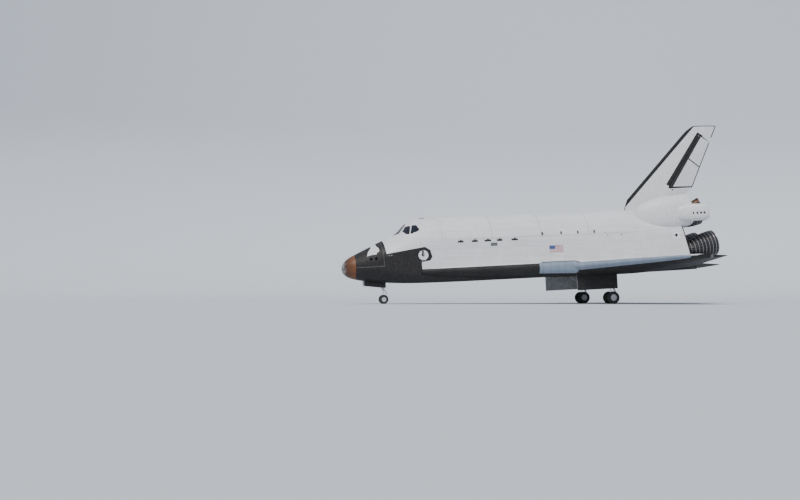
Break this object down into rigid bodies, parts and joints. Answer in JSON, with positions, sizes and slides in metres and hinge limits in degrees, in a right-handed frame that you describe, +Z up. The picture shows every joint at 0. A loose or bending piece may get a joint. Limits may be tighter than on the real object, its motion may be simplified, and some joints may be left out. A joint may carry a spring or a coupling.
{
  "type": "space shuttle orbiter",
  "caption": "Winged orbital shuttle standing on its landing gear, with opening cargo bay doors, hatch, control surfaces, swivelling engines and rolling wheels.",
  "frame": {"origin": "on the ground, under the middle of the vehicle's bounding box", "axes": "+X aft along the vehicle, +Y to its right, starboard, and +Z up; the nose is at -X"},
  "size_m": [36.5184, 23.7998, 17.2459],
  "materials": {
    "white_skin": "satin",
    "black_tile": "matt",
    "grey_leading_edge": "satin",
    "nose_cap": "satin",
    "window_glass": "gloss",
    "cabin_interior": "matt",
    "engine_metal": "satin",
    "gear_paint": "gloss",
    "wheel_metal": "satin",
    "tyre": "matt"
  },
  "bodies": {
    "airframe": {"nose_section": "black_tile", "forward_fuselage": "white_skin", "nose_cap": "nose_cap", "windscreen": "window_glass", "flight_deck": "cabin_interior", "cabin_bulkhead": "cabin_interior", "mid_fuselage": "white_skin", "aft_fuselage": "white_skin", "vertical_fin": "white_skin", "nose_gear_leg": "gear_paint", "wing_left": "black_tile", "wing_right": "black_tile", "leading_edge_left": "grey_leading_edge", "leading_edge_right": "grey_leading_edge", "engine_pod_left": "white_skin", "engine_pod_right": "white_skin", "orbital_nozzle_left": "engine_metal", "orbital_nozzle_right": "engine_metal", "main_gear_leg_left": "gear_paint", "main_gear_leg_right": "gear_paint", "main_gear_door_left": "black_tile", "main_gear_door_right": "black_tile", "nose_gear_door_left": "black_tile", "nose_gear_door_right": "black_tile"},
    "bay_door_left": {"bay_door_left": "white_skin"},
    "bay_door_right": {"bay_door_right": "white_skin"},
    "crew_hatch": {"crew_hatch": "white_skin"},
    "elevon_inboard_left": {"elevon_inboard_left": "black_tile"},
    "elevon_outboard_left": {"elevon_outboard_left": "black_tile"},
    "elevon_inboard_right": {"elevon_inboard_right": "black_tile"},
    "elevon_outboard_right": {"elevon_outboard_right": "black_tile"},
    "body_flap": {"body_flap": "black_tile"},
    "rudder_shaft": {"rudder_shaft": "gear_paint"},
    "rudder_left": {"rudder_left": "white_skin"},
    "rudder_right": {"rudder_right": "white_skin"},
    "engine_top": {"engine_top": "engine_metal"},
    "engine_left": {"engine_left": "engine_metal"},
    "engine_right": {"engine_right": "engine_metal"},
    "nose_fork": {"nose_gear_fork": "gear_paint"},
    "nose_wheels": {"nose_wheels": "wheel_metal", "nose_tyre_left": "tyre", "nose_tyre_right": "tyre"},
    "main_left_wheels": {"main_left_wheels": "wheel_metal", "main_left_tyre_left": "tyre", "main_left_tyre_right": "tyre"},
    "main_right_wheels": {"main_right_wheels": "wheel_metal", "main_right_tyre_left": "tyre", "main_right_tyre_right": "tyre"}
  },
  "joints": [
    {"name": "bay_door_left_open", "type": "hinge", "parent": "airframe", "child": "bay_door_left", "pos_m": [-0.4625, -2.626, 6.13659], "axis": [0.9986, 0, 0.0523], "range_deg": [0, 175.5]},
    {"name": "bay_door_right_open", "type": "hinge", "parent": "airframe", "child": "bay_door_right", "pos_m": [-0.4625, 2.626, 6.13659], "axis": [-0.9986, 0, -0.0523], "range_deg": [0, 175.5]},
    {"name": "crew_hatch_open", "type": "hinge", "parent": "airframe", "child": "crew_hatch", "pos_m": [-11.27511, -2.557, 3.76345], "axis": [0.9986, 0, 0.0523], "range_deg": [0, 90]},
    {"name": "elevon_inboard_left_swing", "type": "hinge", "parent": "airframe", "child": "elevon_inboard_left", "pos_m": [10.99442, -5.43, 3.49561], "axis": [0.004, 0.997, -0.0768], "range_deg": [-35, 20]},
    {"name": "elevon_outboard_left_swing", "type": "hinge", "parent": "airframe", "child": "elevon_outboard_left", "pos_m": [10.97651, -9.87, 3.83747], "axis": [0.004, 0.997, -0.0768], "range_deg": [-35, 20]},
    {"name": "elevon_inboard_right_swing", "type": "hinge", "parent": "airframe", "child": "elevon_inboard_right", "pos_m": [10.99442, 5.43, 3.49561], "axis": [-0.004, 0.997, 0.0768], "range_deg": [-35, 20]},
    {"name": "elevon_outboard_right_swing", "type": "hinge", "parent": "airframe", "child": "elevon_outboard_right", "pos_m": [10.97651, 9.87, 3.83747], "axis": [-0.004, 0.997, 0.0768], "range_deg": [-35, 20]},
    {"name": "body_flap_swing", "type": "hinge", "parent": "airframe", "child": "body_flap", "pos_m": [14.68059, 0, 3.53155], "axis": [0, 1, 0], "range_deg": [-11.7, 22.55]},
    {"name": "rudder_swing", "type": "hinge", "parent": "airframe", "child": "rudder_shaft", "pos_m": [14.94555, 0, 13.5892], "axis": [0.5274, 0, 0.8496], "range_deg": [-27.1, 27.1]},
    {"name": "rudder_left_open", "type": "hinge", "parent": "rudder_shaft", "child": "rudder_left", "pos_m": [14.94555, 0, 13.5892], "axis": [-0.5274, 0, -0.8496], "range_deg": [0, 49.3]},
    {"name": "rudder_right_open", "type": "hinge", "parent": "rudder_shaft", "child": "rudder_right", "pos_m": [14.94555, 0, 13.5892], "axis": [0.5274, 0, 0.8496], "range_deg": [0, 49.3]},
    {"name": "engine_top_gimbal", "type": "hinge", "parent": "airframe", "child": "engine_top", "pos_m": [12.26371, 0, 7.44042], "axis": [0, 1, 0], "range_deg": [-10.5, 10.5]},
    {"name": "engine_left_gimbal", "type": "hinge", "parent": "airframe", "child": "engine_left", "pos_m": [12.98834, -1.346, 4.86782], "axis": [0.0607, 0.9981, 0.0085], "range_deg": [-10.5, 10.5]},
    {"name": "engine_right_gimbal", "type": "hinge", "parent": "airframe", "child": "engine_right", "pos_m": [12.98834, 1.346, 4.86782], "axis": [-0.0607, 0.9981, -0.0085], "range_deg": [-10.5, 10.5]},
    {"name": "nose_gear_steer", "type": "hinge", "parent": "airframe", "child": "nose_fork", "pos_m": [-14.48069, 0, 0.88174], "axis": [-0.0523, 0, 0.9986], "range_deg": [-10, 10]},
    {"name": "nose_wheels_roll", "type": "hinge", "parent": "nose_fork", "child": "nose_wheels", "pos_m": [-14.45573, 0, 0.40544], "axis": [0, 1, 0], "continuous": true},
    {"name": "main_left_wheels_roll", "type": "hinge", "parent": "airframe", "child": "main_left_wheels", "pos_m": [5.75665, -3.454, 0.56444], "axis": [0, 1, 0], "continuous": true},
    {"name": "main_right_wheels_roll", "type": "hinge", "parent": "airframe", "child": "main_right_wheels", "pos_m": [5.75665, 3.454, 0.56444], "axis": [0, 1, 0], "continuous": true}
  ],
  "couplings": [
    {"joint": "engine_left_gimbal", "follows": "engine_top_gimbal", "ratio": 1},
    {"joint": "engine_right_gimbal", "follows": "engine_top_gimbal", "ratio": 1}
  ]
}
